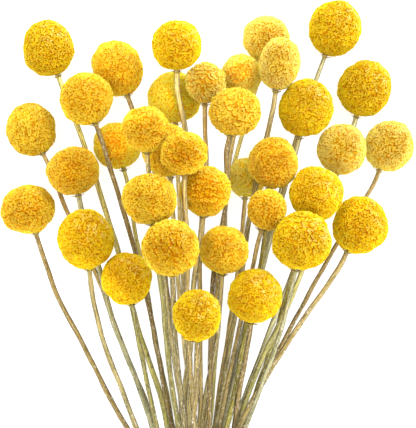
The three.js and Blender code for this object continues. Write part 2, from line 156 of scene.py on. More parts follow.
def add_node(tree, kind, inputs=(), **settings):
    """Adds a node with its settings, each named input given a value or what another node puts out."""
    node = tree.nodes.new(kind)
    for setting, value in settings.items():
        setattr(node, setting, value)
    for place, value in dict(inputs).items():
        if isinstance(place, int):
            socket = node.inputs[place]
        else:
            socket = next(s for s in node.inputs if s.enabled and place in (s.name, s.identifier))
        if isinstance(value, bpy.types.Node):
            value = next(s for s in value.outputs if s.enabled)
        if isinstance(value, bpy.types.NodeSocket):
            tree.links.new(value, socket)
        else:
            socket.default_value = value
    return node


def product(tree, one, other):
    """One number times another."""
    return add_node(tree, "ShaderNodeMath", {0: one, 1: other}, operation="MULTIPLY")


def vector_sum(tree, one, other):
    """One place or direction added to another."""
    return add_node(tree, "ShaderNodeVectorMath", {0: one, 1: other}, operation="ADD")


def scaled(tree, vector, factor):
    """A direction made longer, or a colour made lighter, by a factor."""
    return add_node(tree, "ShaderNodeVectorMath", {0: vector, "Scale": factor}, operation="SCALE")


def spread(tree, value, span):
    """A number moved from one span into another."""
    return add_node(tree, "ShaderNodeMapRange", {"Value": value, **span})


def random_number(tree, low, high, seed):
    """A random number of its own for each point."""
    return add_node(tree, "FunctionNodeRandomValue", {"Min": low, "Max": high, "Seed": seed})


def random_direction(tree, seed):
    """A random direction of its own for each point."""
    ends = {"Min": (-1.0, -1.0, -1.0), "Max": (1.0, 1.0, 1.0)}
    return add_node(tree, "FunctionNodeRandomValue", {**ends, "Seed": seed}, data_type="FLOAT_VECTOR")


def with_attribute(tree, shape, name, value, kind="FLOAT", **settings):
    """The same shape with a value stored on it under a name."""
    return add_node(tree, "GeometryNodeStoreNamedAttribute",
                    {"Geometry": shape, "Name": name, "Value": value}, data_type=kind, **settings)


def above_floor(tree, shape):
    """The same shape with whatever would go through the floor lifted onto it."""
    parts = add_node(tree, "ShaderNodeSeparateXYZ", {"Vector": add_node(tree, "GeometryNodeInputPosition")})
    height = add_node(tree, "ShaderNodeMath", {0: parts.outputs["Z"], 1: 0.0}, operation="MAXIMUM")
    kept = add_node(tree, "ShaderNodeCombineXYZ",
                    {"X": parts.outputs["X"], "Y": parts.outputs["Y"], "Z": height})
    return add_node(tree, "GeometryNodeSetPosition", {"Geometry": shape, "Position": kept})


def joined(tree, one, other):
    """Two shapes as one."""
    both = add_node(tree, "GeometryNodeJoinGeometry")
    tree.links.new(one, both.inputs[0])
    tree.links.new(other, both.inputs[0])
    return both


def new_tree(name, sizes):
    """A Geometry Nodes tree that takes a shape, the named sizes and a finish, and gives a shape."""
    tree = bpy.data.node_groups.new(name, "GeometryNodeTree")
    tree.interface.new_socket("Shape", in_out="INPUT", socket_type="NodeSocketGeometry")
    for size, kind in sizes.items():
        tree.interface.new_socket(size, in_out="INPUT", socket_type=kind)
    tree.interface.new_socket("Finish", in_out="INPUT", socket_type="NodeSocketMaterial")
    tree.interface.new_socket("Shape", in_out="OUTPUT", socket_type="NodeSocketGeometry")
    return tree, tree.nodes.new("NodeGroupInput").outputs


def end_tree(tree, shape, finish):
    """Closes a tree with real copies that carry the finish."""
    real = add_node(tree, "GeometryNodeRealizeInstances", {"Geometry": shape})
    finished = add_node(tree, "GeometryNodeSetMaterial", {"Geometry": real, "Material": finish})
    ending = tree.nodes.new("NodeGroupOutput")
    tree.links.new(finished.outputs[0], ending.inputs[0])


def put_in_scene(name, content):
    """An object in the scene that shows a mesh, a light or a camera."""
    made = bpy.data.objects.new(name, content)
    bpy.context.scene.collection.objects.link(made)
    return made


def grown(name, start_mesh, tree, sizes):
    """The plain mesh object that a tree makes of a starting mesh."""
    start = put_in_scene(name + "_start", start_mesh)
    modifier = start.modifiers.new("growth", "NODES")
    modifier.node_group = tree
    for item in tree.interface.items_tree:
        if item.in_out == "INPUT" and item.name in sizes:
            modifier[item.identifier] = sizes[item.name]
    made = bpy.data.meshes.new_from_object(start.evaluated_get(bpy.context.evaluated_depsgraph_get()))
    made.name = name
    piece = put_in_scene(name, made)
    bpy.data.objects.remove(start)
    return piece


def set_attribute(mesh, name, values):
    """Stores one number for each point of a mesh."""
    mesh.attributes.new(name, "FLOAT", "POINT").data.foreach_set("value", values)


def lines_mesh(name, lines, columns):
    """A mesh of lines, each a row of points, with the numbers that its points carry."""
    starts = np.cumsum([0, *(len(line) for line in lines)]).tolist()
    edges = [(first + i, first + i + 1) for first, line in zip(starts, lines) for i in range(len(line) - 1)]
    mesh = bpy.data.meshes.new(name)
    mesh.from_pydata(np.concatenate(lines).tolist(), edges, [])
    for column, values in columns.items():
        set_attribute(mesh, column, values)
    return mesh


def joined_shape(node):
    """The points of a CAD node, each once, and for each point the ones that an edge joins to it."""
    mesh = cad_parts[node].data
    loose = np.empty(len(mesh.vertices) * 3)
    mesh.vertices.foreach_get("co", loose)
    points, index = np.unique(np.round(loose.reshape(-1, 3), 6), axis=0, return_inverse=True)
    index = index.reshape(-1)
    near = [set() for _ in points]
    for face in mesh.polygons:
        corners = {int(index[i]) for i in face.vertices}
        for corner in corners:
            near[corner] |= corners - {corner}
    return points, near


def middle_and_radius(ring):
    """The middle of a ring of points and its radius."""
    middle = ring.mean(axis=0)
    return middle, np.linalg.norm(ring - middle, axis=1).mean()


def rings_along(points, near, first_ring):
    """The rings of a stem as middles and radii, from the head to where it meets its partner."""
    ring, seen, rings = sorted(first_ring), set(first_ring), []
    while len(ring) == STEM_CORNERS and points[ring][:, 1].mean() > tie_y + ABOVE_TIE:
        rings.append(middle_and_radius(points[ring]))
        ring = sorted(set().union(*(near[i] for i in ring)) - seen)
        seen |= set(ring)
    return rings


def cut_end_rings(points, near):
    """For the two stems of a node, the rings between the tie and the cut end, lower stem first."""
    waiting = set(np.flatnonzero(points[:, 1] < tie_y - BELOW_TIE).tolist())
    tails = []
    while waiting:
        front = {waiting.pop()}
        tail = set(front)
        while front:
            front = set().union(*(near[i] for i in front)) & waiting
            waiting -= front
            tail |= front
        along = sorted(tail, key=lambda i: -points[i][1])
        tails.append([middle_and_radius(points[along[i:i + STEM_CORNERS]])
                      for i in range(0, len(along), STEM_CORNERS)])
    return sorted(tails, key=lambda rings: rings[0][0][2])


def between(p, q, start, end, t):
    """Where a point that leaves p at the start and reaches q at the end is at t."""
    return p + (q - p) * (t - start) / (end - start)


def smooth_line(rings):
    """A line through the middles of the rings that bends evenly, with its radius at each step."""
    places = [middle for middle, _ in rings]
    radii = [radius for _, radius in rings]
    ends = [2 * places[0] - places[1], *places, 2 * places[-1] - places[-2]]
    line, thickness = [], []
    for k in range(len(places) - 1):
        a, b, c, d = ends[k:k + 4]
        gaps = (np.linalg.norm(q - p) ** 0.5 for p, q in ((a, b), (b, c), (c, d)))
        at_a, at_b, at_c, at_d = np.cumsum([0, *gaps])
        count = max(1, round(np.linalg.norm(c - b) / STEM_SAMPLE))
        for share in np.arange(count) / count:
            t = at_b + share * (at_c - at_b)
            ab = between(a, b, at_a, at_b, t)
            bc = between(b, c, at_b, at_c, t)
            cd = between(c, d, at_c, at_d, t)
            abc = between(ab, bc, at_a, at_c, t)
            bcd = between(bc, cd, at_b, at_d, t)
            line.append(between(abc, bcd, at_b, at_c, t))
            thickness.append(radii[k] + share * (radii[k + 1] - radii[k]))
    return np.array([*line, places[-1]]), np.array([*thickness, radii[-1]])


tie_low, tie_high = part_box("tie")
tie_y = (tie_low.y + tie_high.y) / 2
head_nodes = [f"head_{number:02d}" for number in range(1, FLOWER_COUNT + 1)]
head_points = {node: joined_shape(node)[0] for node in head_nodes}
stem_nodes = sorted(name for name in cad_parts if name.startswith("stems_"))
stem_shapes = {node: joined_shape(node) for node in stem_nodes}
pairs = {node: [] for node in stem_nodes}
for head in head_nodes:
    middle = (head_points[head].min(axis=0) + head_points[head].max(axis=0)) / 2
    reach = {node: np.linalg.norm(shape[0] - middle, axis=1) for node, shape in stem_shapes.items()}
    node = min(stem_nodes, key=lambda name: np.sort(reach[name])[STEM_CORNERS - 1])
    first_ring = np.argsort(reach[node])[:STEM_CORNERS].tolist()
    pairs[node].append((head, rings_along(*stem_shapes[node], first_ring)))

stem_chance = np.random.default_rng(STEM_SEED)
stem_lines, seats = {}, {}
for node in stem_nodes:
    points, near = stem_shapes[node]
    in_tie = points[abs(points[:, 1] - tie_y) < TIE_REACH + TIE_MARGIN]
    slot = (in_tie.min(axis=0) + in_tie.max(axis=0)) / 2
    for level, ((head, upper), tail) in enumerate(zip(pairs[node], cut_end_rings(points, near))):
        seat, second = upper[0][0], upper[1][0]
        towards_head = (seat - second) / np.linalg.norm(seat - second)
        seats[head] = (seat, towards_head)
        height = slot[2] + (2 * level - 1) * PRESSED_HALF
        pressed = [(np.array([slot[0], tie_y + side * TIE_REACH, height]), upper[-1][1]) for side in (1, -1)]
        collar = (seat + towards_head * STEM_INTO_HEAD, upper[1][1] * STEM_FLARE)
        line, thickness = smooth_line([collar, *upper[1:], *pressed, *tail])
        along = np.cumsum([0, *np.linalg.norm(np.diff(line, axis=0), axis=1)])
        phases = stem_chance.uniform(0, FULL_TURN, (len(SWAY_PACES), 3))
        sways = [np.sin(along[:, None] * pace + phase) for pace, phase in zip(SWAY_PACES, phases)]
        free = np.clip(np.minimum(along / STILL_BY_HEAD, abs(line[:, 1] - tie_y) / STILL_BY_TIE), 0, 1)
        line = line + sum(sways) / len(SWAY_PACES) * free[:, None] * STEM_SWAY
        uneven = STEM_UNEVENNESS
        for pace, phase in zip(UNEVEN_PACES, phases[:, 0]):
            uneven = uneven * np.sin(along * pace + phase)
        thickness = thickness * (1 + uneven) * stem_chance.uniform(THINNEST_STEM, THICKEST_STEM)
        line[:, 2] = np.maximum(line[:, 2], thickness * (1 + RIB_DEPTH) + FLOOR_GAP)
        stem_lines[head] = (line, thickness, along)

hair_mesh = bpy.data.meshes.new("hair")
hair_points = [(x + math.cos(turn), math.sin(turn), z) for x, z in HAIR_BEND for turn in HAIR_CORNERS]
hair_root = [(2, 1, 0)]
hair_sides = [(k + i, k + (i + 1) % 3, k + 3 + (i + 1) % 3, k + 3 + i) for k in (0, 3) for i in range(3)]
hair_top = [(6 + i, 6 + (i + 1) % 3, 9) for i in range(3)]
hair_mesh.from_pydata([*hair_points, (HAIR_POINT[0], 0.0, HAIR_POINT[1])], [],
                      hair_root + hair_sides + hair_top)
set_attribute(hair_mesh, "fluff", [1.0] * len(hair_mesh.vertices))
hair = put_in_scene("hair", hair_mesh)

stem_tree, size = new_tree("ribbed stems", {
    "Rib Points": "NodeSocketInt", "Rib Depth": "NodeSocketFloat", "Twist": "NodeSocketFloat",
    "Hairs": "NodeSocketFloat", "Hair Length": "NodeSocketFloat", "Seed": "NodeSocketInt"})
along = add_node(stem_tree, "GeometryNodeInputNamedAttribute", {"Name": "along"})
strands = add_node(stem_tree, "GeometryNodeMeshToCurve", {"Mesh": size["Shape"]})
strands = add_node(stem_tree, "GeometryNodeSetCurveTilt",
                   {"Curve": strands, "Tilt": product(stem_tree, along, size["Twist"])})
outline = add_node(stem_tree, "GeometryNodeCurvePrimitiveCircle",
                   {"Resolution": size["Rib Points"], "Radius": 1.0})
corner = add_node(stem_tree, "GeometryNodeInputIndex")
ridge = add_node(stem_tree, "ShaderNodeMath", {0: corner, 1: 2.0}, operation="MODULO")
place = add_node(stem_tree, "GeometryNodeInputPosition")
raised = scaled(stem_tree, scaled(stem_tree, place, size["Rib Depth"]), ridge)
outline = with_attribute(stem_tree, outline, "round", place, "FLOAT_VECTOR")
outline = with_attribute(stem_tree, outline, "ridge", ridge)
outline = add_node(stem_tree, "GeometryNodeSetPosition", {"Geometry": outline, "Offset": raised})
girth = add_node(stem_tree, "GeometryNodeInputNamedAttribute", {"Name": "thickness"})
rods = add_node(stem_tree, "GeometryNodeCurveToMesh",
                {"Curve": strands, "Profile Curve": outline, "Scale": girth, "Fill Caps": True})

# A face with more than four corners closes a rod, so it is a cut end.
corners = add_node(stem_tree, "GeometryNodeInputMeshFaceNeighbors").outputs["Vertex Count"]
is_cut = add_node(stem_tree, "ShaderNodeMath", {0: corners, 1: MOST_SIDE_CORNERS},
                  operation="GREATER_THAN")
is_side = add_node(stem_tree, "ShaderNodeMath", {0: 1.0, 1: is_cut}, operation="SUBTRACT")
rods = with_attribute(stem_tree, rods, "cut_end", is_cut, domain="FACE")
rods = add_node(stem_tree, "GeometryNodeSetShadeSmooth", {"Geometry": rods, "Shade Smooth": is_side})
normal = add_node(stem_tree, "GeometryNodeInputNormal")
facing = add_node(stem_tree, "ShaderNodeSeparateXYZ", {"Vector": normal})
# How far each point faces up, for the painted shade on the stem's sides.
rods = with_attribute(stem_tree, rods, "bleached", facing.outputs["Z"])

roots = add_node(stem_tree, "GeometryNodeDistributePointsOnFaces",
                 {"Mesh": rods, "Selection": is_side, "Density": size["Hairs"], "Seed": size["Seed"]})
lie = vector_sum(stem_tree, random_direction(stem_tree, size["Seed"]), roots.outputs["Normal"])
lie = add_node(stem_tree, "FunctionNodeAlignRotationToVector", {"Vector": lie}, axis="Z")
long = random_number(stem_tree, SHORTEST_HAIR, LONGEST_HAIR, HAIR_SEED)
long = product(stem_tree, long, size["Hair Length"])
hair_size = add_node(stem_tree, "ShaderNodeCombineXYZ", {"X": HAIR_RADIUS, "Y": HAIR_RADIUS, "Z": long})
one_hair = add_node(stem_tree, "GeometryNodeObjectInfo", {"Object": hair}).outputs["Geometry"]
hairs = add_node(stem_tree, "GeometryNodeInstanceOnPoints",
                 {"Points": roots, "Instance": one_hair, "Rotation": lie, "Scale": hair_size})
hairs = above_floor(stem_tree, add_node(stem_tree, "GeometryNodeRealizeInstances", {"Geometry": hairs}))
end_tree(stem_tree, joined(stem_tree, rods.outputs[0], hairs.outputs[0]), size["Finish"])


def new_paint(name):
    """A new material and its empty node tree."""
    material = bpy.data.materials.new(name)
    material.use_nodes = True
    material.node_tree.nodes.clear()
    return material, material.node_tree


def attribute(tree, name, kind="Fac"):
    """What the mesh carries under a name, for its material."""
    return add_node(tree, "ShaderNodeAttribute", attribute_name=name).outputs[kind]


def grain(tree, place, settings):
    """The noise that a material is marked with."""
    return add_node(tree, "ShaderNodeTexNoise", {"Vector": place, **settings})


def strand_place(tree, pace, start):
    """A place for grain that is drawn out along a strand and keeps to its own side of it."""
    drawn = add_node(tree, "ShaderNodeMath", {0: attribute(tree, "along"), 1: pace, 2: start},
                     operation="MULTIPLY_ADD")
    upright = add_node(tree, "ShaderNodeCombineXYZ", {"Z": drawn})
    return vector_sum(tree, attribute(tree, "round", "Vector"), upright)


def colours_along(tree, value, colours):
    """Colours that pass from one to the next as a number grows past the place of each."""
    node = add_node(tree, "ShaderNodeValToRGB", {"Fac": value})
    ramp = node.color_ramp
    while len(ramp.elements) < len(colours):
        ramp.elements.new(0.5)
    for element, place in zip(ramp.elements, colours):
        element.position = place
    for element, colour in zip(ramp.elements, colours.values()):
        element.color = (*colour, 1.0)
    return node


def blended(tree, share, one, other, **settings):
    """One colour, with a share of another in it."""
    return add_node(tree, "ShaderNodeMix", {"Factor": share, "A": one, "B": other},
                    data_type="RGBA", **settings)


def cover(tree, colour, surface):
    """Ends a material with a surface of this colour."""
    surface = add_node(tree, "ShaderNodeBsdfPrincipled", {"Base Color": colour, **surface})
    add_node(tree, "ShaderNodeOutputMaterial", {"Surface": surface})


dried_stem, paint = new_paint("dried stem")
own_start = product(paint, attribute(paint, "shade"), STEM_STARTS)
fibre = grain(paint, strand_place(paint, FIBRE_PACE, own_start), FIBRE_GRAIN)
wool_place = strand_place(paint, WOOL_PACE, own_start)
wool = grain(paint, wool_place, WOOL_GRAIN)
scars = grain(paint, vector_sum(paint, wool_place, SCAR_SHIFT), SCAR_GRAIN)
tints = colours_along(paint, attribute(paint, "tint"),
                      {FINISH_TINTS[finish]: colour for finish, colour in TINT_COLOURS.items()})
# How light the stem is: its streaks, and its tone, which holds the painted light by depth in the bunch.
depth = product(paint, spread(paint, fibre, STREAKS), attribute(paint, "tone"))
# Painted shade in the grooves between the ribs.
depth = product(paint, depth, spread(paint, attribute(paint, "ridge"), PAINTED_GROOVE_SHADE))
# Painted light near the head, against the shade that the head casts on the stem.
depth = product(paint, depth, spread(paint, attribute(paint, "along"), PAINTED_LIGHT_BY_THE_HEAD))
# Painted shade on the sides and underside of the stem, lighter on top.
depth = product(paint, depth, spread(paint, attribute(paint, "bleached"), PAINTED_SIDE_SHADE))
coloured = blended(paint, spread(paint, wool, WOOL_COVER), scaled(paint, tints, depth), STEM_WOOL)
coloured = blended(paint, spread(paint, scars, SCAR_COVER), coloured, STEM_SCAR)
coloured = blended(paint, attribute(paint, "fluff"), coloured, STEM_WOOL)
from_middle = add_node(paint, "ShaderNodeVectorMath", {0: attribute(paint, "round", "Vector")},
                       operation="LENGTH").outputs["Value"]
cut_colour = blended(paint, spread(paint, from_middle, RIND_COVER), STEM_PITH, STEM_RIND)
coloured = blended(paint, attribute(paint, "cut_end"), coloured, cut_colour)
relief = add_node(paint, "ShaderNodeBump", {"Height": fibre, **FIBRE_RELIEF})
cover(paint, coloured, {"Normal": relief, **STEM_SURFACE})

for number, node in enumerate(stem_nodes):
    columns = {"thickness": [], "along": [], "tint": [], "shade": [], "tone": []}
    for head, _ in pairs[node]:
        line, thickness, along = stem_lines[head]
        place_in_fan = head_nodes.index(head)
        # Painted light: a stem deep in the bunch is made lighter and one on top darker; some stems have also
        # dried darker.
        tone = np.interp(place_in_fan, (0, FLOWER_COUNT - 1), (UNDERMOST_PAINTED_LIGHT, TOPMOST_PAINTED_LIGHT))
        tone *= DARK_STEM if place_in_fan + 1 in DARK_STEMS else 1.0
        columns["thickness"] += thickness.tolist()
        columns["along"] += along.tolist()
        columns["tint"] += [FINISH_TINTS[STEM_FINISHES[place_in_fan]]] * len(line)
        columns["shade"] += [stem_chance.random()] * len(line)
        columns["tone"] += [tone] * len(line)
    lines = lines_mesh(node + "_lines", [stem_lines[head][0] for head, _ in pairs[node]], columns)
    piece = grown("dried_" + node, lines, stem_tree, {
        "Rib Points": 2 * RIB_COUNT, "Rib Depth": RIB_DEPTH, "Twist": RIB_TWIST, "Hairs": HAIRS_ON_STEM,
        "Hair Length": HAIR_LENGTH, "Seed": number, "Finish": dried_stem})
    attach(piece, "root")
    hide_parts(node)

# Heads
# Each head is a ball of a great many tiny tubular florets, packed on a small solid heart. They stand
# straight out, and dry to a firm, slightly furrowed surface of open yellow tips.

FLORET_SPACING = 0.00084
FLORET_CROWDING = 2.4e7
FLORET_RADIUS = 0.00059
FLORET_LENGTH = 0.0009
SMALLEST_FLORET = 0.92
LARGEST_FLORET = 1.06
FLORET_STRAY = 0.10
FLORET_LOBES = 5
THROAT_DEPTH = 0.4
FLORET_ROOT = 0.1
SPIN_SEED = 3
GROWTH_SEED = 5
SHADE_SEED = 11
WITHERED_SEED = 17

# The heart: where it sits on the stem, and the lumps, swells, knobs and furrows that it dries to. A
# direction that is drawn at random is usually 1.7 long.
HEAD_SEAT_SHARE = 0.93
HEAD_FLAT_SHARE = 0.965
SEAT_GAP = 0.0003
BARE_SEAT = 0.0022
HEART_INSET = 0.8
HEART_DETAIL = 4
# Painted shade: how dull the heart is where it shows between the florets.
HEART_SHADE = 0.2
HEART_SEED = 19
LUMP_COUNT = 46
LUMP_HEIGHT = 0.0009
CREASE_WIDTH = 0.07
CREASE_SHARE = 0.55
CREASE_SHARPNESS = 0.6
WAVE_PACE = 5
WAVE_COUNT = 5
WAVE_SHARE = 0.5
SWELL_HEIGHT = 0.0006
SWELL_PACE = 2.2
SWELL_COUNT = 4
KNOB_HEIGHT = 0.0003
KNOB_PACE = 10
KNOB_COUNT = 6
KNOB_EVENNESS = 3
WRINKLE_HEIGHT = 0.00032
WRINKLES = 22.0
WRINKLE_WANDER = 2.2
WRINKLE_LEVEL = 0.3
BEND_PACE = 2
USUAL_LENGTH = 1.7
FAINT_WRINKLES = 0.25

# Where pale florets stand: in patches of painted highlight on the side of a head towards the lamp, and here
# and there alone. A floret's value for age and highlight runs from -1, fully pale, to 1, when it has
# withered.
HIGHLIGHT_LEAN = (0.9, 0.1, 0.9)
HIGHLIGHT_STRENGTH = {"lemon": 0.95, "gold": 0.75, "amber": 0.6, "dusty": 0.85}
NEAR_HIGHLIGHT = {"From Min": 0.55}
HIGHLIGHT_PATCH_GRAIN = {"Scale": 380.0, "Detail": 2.0}
HIGHLIGHT_PATCH_EDGE = {"From Min": 0.50, "From Max": 0.62}
YOUNG_ALONE = 0.15
ALONE_SHARPNESS = 3.0
WITHERED_SHARE = 0.02

# Painted light on a head: from how far up and how strongly its upper side is painted darker as shade, how
# much and from how far down its underside is painted darker as shade, and how much paler its rim is painted,
# as a sheen.
TOP_SHADE_FROM = 0.3
TOP_SHADE_STRENGTH = {"lemon": 0.75, "gold": 0.85, "amber": 1.1, "dusty": 1.4}
UNDERSIDE_SHADE = 0.4
UNDERSIDE_FROM = 0.6
PAINTED_RIM_SHEEN = {"lemon": 0.0, "gold": 0.08, "amber": 0.3, "dusty": 0.4}

# Which flowers have a colour other than gold, by their numbers.
COLOUR_GROUPS = {
    "lemon": (4, 5, 7, 11, 19, 28, 30, 31, 32, 34, 35, 36),
    "amber": (13, 20, 23, 26),
    "dusty": (3, 8, 10, 14, 15, 16, 18),
}

# Which heads have their upper side painted darker and browner than most, as shade, and which have no painted
# shade there.
STRONG_TOP_SHADE_HEADS = (13, 21, 23, 25, 26, 33)
NO_TOP_SHADE_HEADS = (1, 6, 10, 20)
STRONG_TOP_SHADE = 1.35

# Which heads have dried to deep furrows.
WRINKLED_HEADS = (9, 10, 14, 20, 21, 22, 24, 25, 30, 33)

# Which heads are painted paler than most, and which deeper: partly each head's own colour, and partly
# painted light, for the palest lie in the shade of other heads.
TONE_GROUPS = {
    "palest": (1, 10, 13, 15),
    "pale": (2, 3, 12, 25, 35),
    "deep": (4, 5, 6, 7, 19, 20, 24, 30, 33, 36),
}
HEAD_TONES = {"palest": 1.42, "pale": 0.98, "usual": 0.87, "deep": 0.76}

# The deep throat, the inside of the tube and the open tip of a floret, for each colour, and the places of
# the three between throat and tip. The throat and inside are darker as painted shade in the depth of the
# tube.
FLORET_COLOURS = {
    "lemon": ((0.86, 0.44, 0.002), (0.97, 0.58, 0.002), (1.0, 0.715, 0.003)),
    "gold": ((0.86, 0.41, 0.003), (0.97, 0.57, 0.007), (1.0, 0.70, 0.017)),
    "amber": ((0.86, 0.39, 0.003), (0.97, 0.55, 0.007), (1.0, 0.68, 0.021)),
    "dusty": ((0.82, 0.42, 0.006), (0.92, 0.63, 0.028), (0.94, 0.78, 0.080)),
}
FLORET_PLACES = (0.05, 0.45, 0.8)
THROAT_TONE = 0.0
TIP_TONE = 1.0
WALL_TONE = 1.0

# What a floret's colour is multiplied by where it is dull or clear, and the painted light on a head: paler
# on its rim and darker on its upper side.
DULL_FLORET = (0.87, 0.70, 0.14, 1.0)
CLEAR_FLORET = (1.0, 1.07, 1.7, 1.0)
DULL_SHARE = {"From Max": 0.35}
SHADED_SIDE = (1.18, 1.26, 2.6, 1.0)
SUNNED_SIDE = (0.87, 0.76, 0.50, 1.0)
BRIGHTEST = (1.05, 0.90, 0.20)
# The pale tip that the painted highlight patches and the lone pale florets are blended to, and the withered
# tip.
PALE_AND_HIGHLIGHT_TIP = (0.97, 0.80, 0.28, 1.0)
PALE_AND_HIGHLIGHT_COVER = {"From Min": 0.0, "From Max": -1.0, "To Max": 0.75}
WITHERED_TIP = (0.42, 0.13, 0.004, 1.0)
WITHERED_COVER = {"To Max": 0.6}

# The lightness drifts from spot to spot over a head, and a darker spot loses less green than blue.
DRIFT_GRAIN = {"Scale": 95.0, "Detail": 3.0}
DRIFT = {"From Min": 0.35, "From Max": 0.65, "To Min": 0.85, "To Max": 1.08}
MOTTLE_GRAIN = {"Scale": 420.0, "Detail": 2.0}
MOTTLE = {"From Min": 0.3, "From Max": 0.7, "To Min": 0.88, "To Max": 1.09}
GREEN_LOSS = 0.45
FLORET_SURFACE = {
    "Roughness": 0.6, "Specular IOR Level": 0.07,
    "Subsurface Weight": 0.4, "Subsurface Radius": (1.0, 0.6, 0.15), "Subsurface Scale": 0.0008,
    "Sheen Weight": 0.1, "Sheen Roughness": 0.4, "Sheen Tint": (1.0, 0.8, 0.1, 1.0),
}

floret_mesh = bpy.data.meshes.new("floret")
rim_turns = np.arange(FLORET_LOBES) * 2 * math.pi / FLORET_LOBES
rim = [(math.cos(turn), math.sin(turn), 1.0) for turn in rim_turns]
lobes = [(1 + k, 1 + (k + 1) % FLORET_LOBES) for k in range(FLORET_LOBES)]
floret_mesh.from_pydata([(0, 0, -FLORET_ROOT), *rim, (0, 0, 1 - THROAT_DEPTH)], [],
                        [(0, b, a) for a, b in lobes] + [(FLORET_LOBES + 1, a, b) for a, b in lobes])
set_attribute(floret_mesh, "tip", [WALL_TONE, *[TIP_TONE] * FLORET_LOBES, THROAT_TONE])
floret = put_in_scene("floret", floret_mesh)

floret_tree, size = new_tree("florets on a head", {
    "Spacing": "NodeSocketFloat", "Crowding": "NodeSocketFloat", "Radius": "NodeSocketFloat",
    "Length": "NodeSocketFloat", "Stray": "NodeSocketFloat", "Highlight Side": "NodeSocketVector",
    "Seed": "NodeSocketInt"})
covered = add_node(floret_tree, "GeometryNodeInputNamedAttribute", {"Name": "covered"})
spots = add_node(floret_tree, "GeometryNodeDistributePointsOnFaces",
                 {"Mesh": size["Shape"], "Selection": covered, "Distance Min": size["Spacing"],
                  "Density Max": size["Crowding"], "Seed": size["Seed"]}, distribute_method="POISSON")
stray = scaled(floret_tree, random_direction(floret_tree, size["Seed"]), size["Stray"])
facing = vector_sum(floret_tree, spots.outputs["Normal"], stray)
facing = add_node(floret_tree, "FunctionNodeAlignRotationToVector", {"Vector": facing}, axis="Z")
spin = add_node(floret_tree, "ShaderNodeCombineXYZ",
                {"Z": random_number(floret_tree, 0.0, FULL_TURN, SPIN_SEED)})
facing = add_node(floret_tree, "FunctionNodeRotateRotation",
                  {"Rotation": facing, "Rotate By": spin}, rotation_space="LOCAL")
growth = random_number(floret_tree, SMALLEST_FLORET, LARGEST_FLORET, GROWTH_SEED)
wide = product(floret_tree, growth, size["Radius"])
tall = product(floret_tree, growth, size["Length"])
girths = add_node(floret_tree, "ShaderNodeCombineXYZ", {"X": wide, "Y": wide, "Z": tall})

own_shade = random_number(floret_tree, 0.0, 1.0, SHADE_SEED)
# Painted highlight: florets on the side of a head towards the lamp are paler, in patches.
highlight_side = add_node(floret_tree, "ShaderNodeVectorMath",
                 {0: spots.outputs["Normal"], 1: size["Highlight Side"]}, operation="DOT_PRODUCT")
near_highlight = spread(floret_tree, highlight_side.outputs["Value"], NEAR_HIGHLIGHT)
highlight_patches = spread(floret_tree, add_node(floret_tree, "ShaderNodeTexNoise", HIGHLIGHT_PATCH_GRAIN), HIGHLIGHT_PATCH_EDGE)
in_highlight = product(floret_tree, near_highlight, highlight_patches)
alone = add_node(floret_tree, "ShaderNodeMath", {0: own_shade, 1: ALONE_SHARPNESS}, operation="POWER")
alone = product(floret_tree, alone, YOUNG_ALONE)
pale_and_highlit = add_node(floret_tree, "ShaderNodeMath", {0: in_highlight, 1: alone}, operation="MAXIMUM")
lot = random_number(floret_tree, 0.0, 1.0, WITHERED_SEED)
withered = add_node(floret_tree, "ShaderNodeMath", {0: lot, 1: 1.0 - WITHERED_SHARE},
                    operation="GREATER_THAN")
age = add_node(floret_tree, "ShaderNodeMath", {0: withered, 1: pale_and_highlit}, operation="SUBTRACT")
spots = with_attribute(floret_tree, spots, "shade", own_shade)
spots = with_attribute(floret_tree, spots, "age", age)

one_floret = add_node(floret_tree, "GeometryNodeObjectInfo", {"Object": floret}).outputs["Geometry"]
florets = add_node(floret_tree, "GeometryNodeInstanceOnPoints",
                   {"Points": spots, "Instance": one_floret, "Rotation": facing, "Scale": girths})
florets = add_node(floret_tree, "GeometryNodeRealizeInstances", {"Geometry": florets})
ball = joined(floret_tree, size["Shape"], florets.outputs[0])
end_tree(floret_tree, above_floor(floret_tree, ball), size["Finish"])


def floret_finish(name, colours):
    """Dried florets: painted darker and duller in the throat, as shade in the tube, bright at the open tip.
    """
    material, paint = new_paint(name)
    where = add_node(paint, "ShaderNodeTexCoord").outputs["Object"]
    drifted = spread(paint, grain(paint, where, DRIFT_GRAIN), DRIFT)
    mottled = spread(paint, grain(paint, where, MOTTLE_GRAIN), MOTTLE)
    light = product(paint, drifted, mottled)
    less_green = add_node(paint, "ShaderNodeMath", {0: light, 1: GREEN_LOSS}, operation="POWER")
    warmth = add_node(paint, "ShaderNodeCombineXYZ", {"X": 1.0, "Y": less_green, "Z": light})
    freshness = spread(paint, attribute(paint, "shade"), DULL_SHARE)
    own_colour = blended(paint, freshness, DULL_FLORET, CLEAR_FLORET)
    # Painted light: the rim of the head paler, as a sheen, and its upper side darker, as shade.
    rim_and_top_light = blended(paint, attribute(paint, "painted_top_shade"), SHADED_SIDE, SUNNED_SIDE, clamp_factor=False)
    colour = colours_along(paint, attribute(paint, "tip"), dict(zip(FLORET_PLACES, colours)))
    for factor in (own_colour, warmth):
        colour = add_node(paint, "ShaderNodeVectorMath", {0: colour, 1: factor}, operation="MULTIPLY")
    colour = scaled(paint, colour, product(paint, light, attribute(paint, "tone")))
    colour = add_node(paint, "ShaderNodeVectorMath", {0: colour, 1: rim_and_top_light}, operation="MULTIPLY")
    colour = add_node(paint, "ShaderNodeVectorMath", {0: colour, 1: BRIGHTEST}, operation="MINIMUM")
    age = attribute(paint, "age")
    colour = blended(paint, spread(paint, age, PALE_AND_HIGHLIGHT_COVER), colour, PALE_AND_HIGHLIGHT_TIP)
    colour = blended(paint, spread(paint, age, WITHERED_COVER), colour, WITHERED_TIP)
    cover(paint, colour, FLORET_SURFACE)
    return material


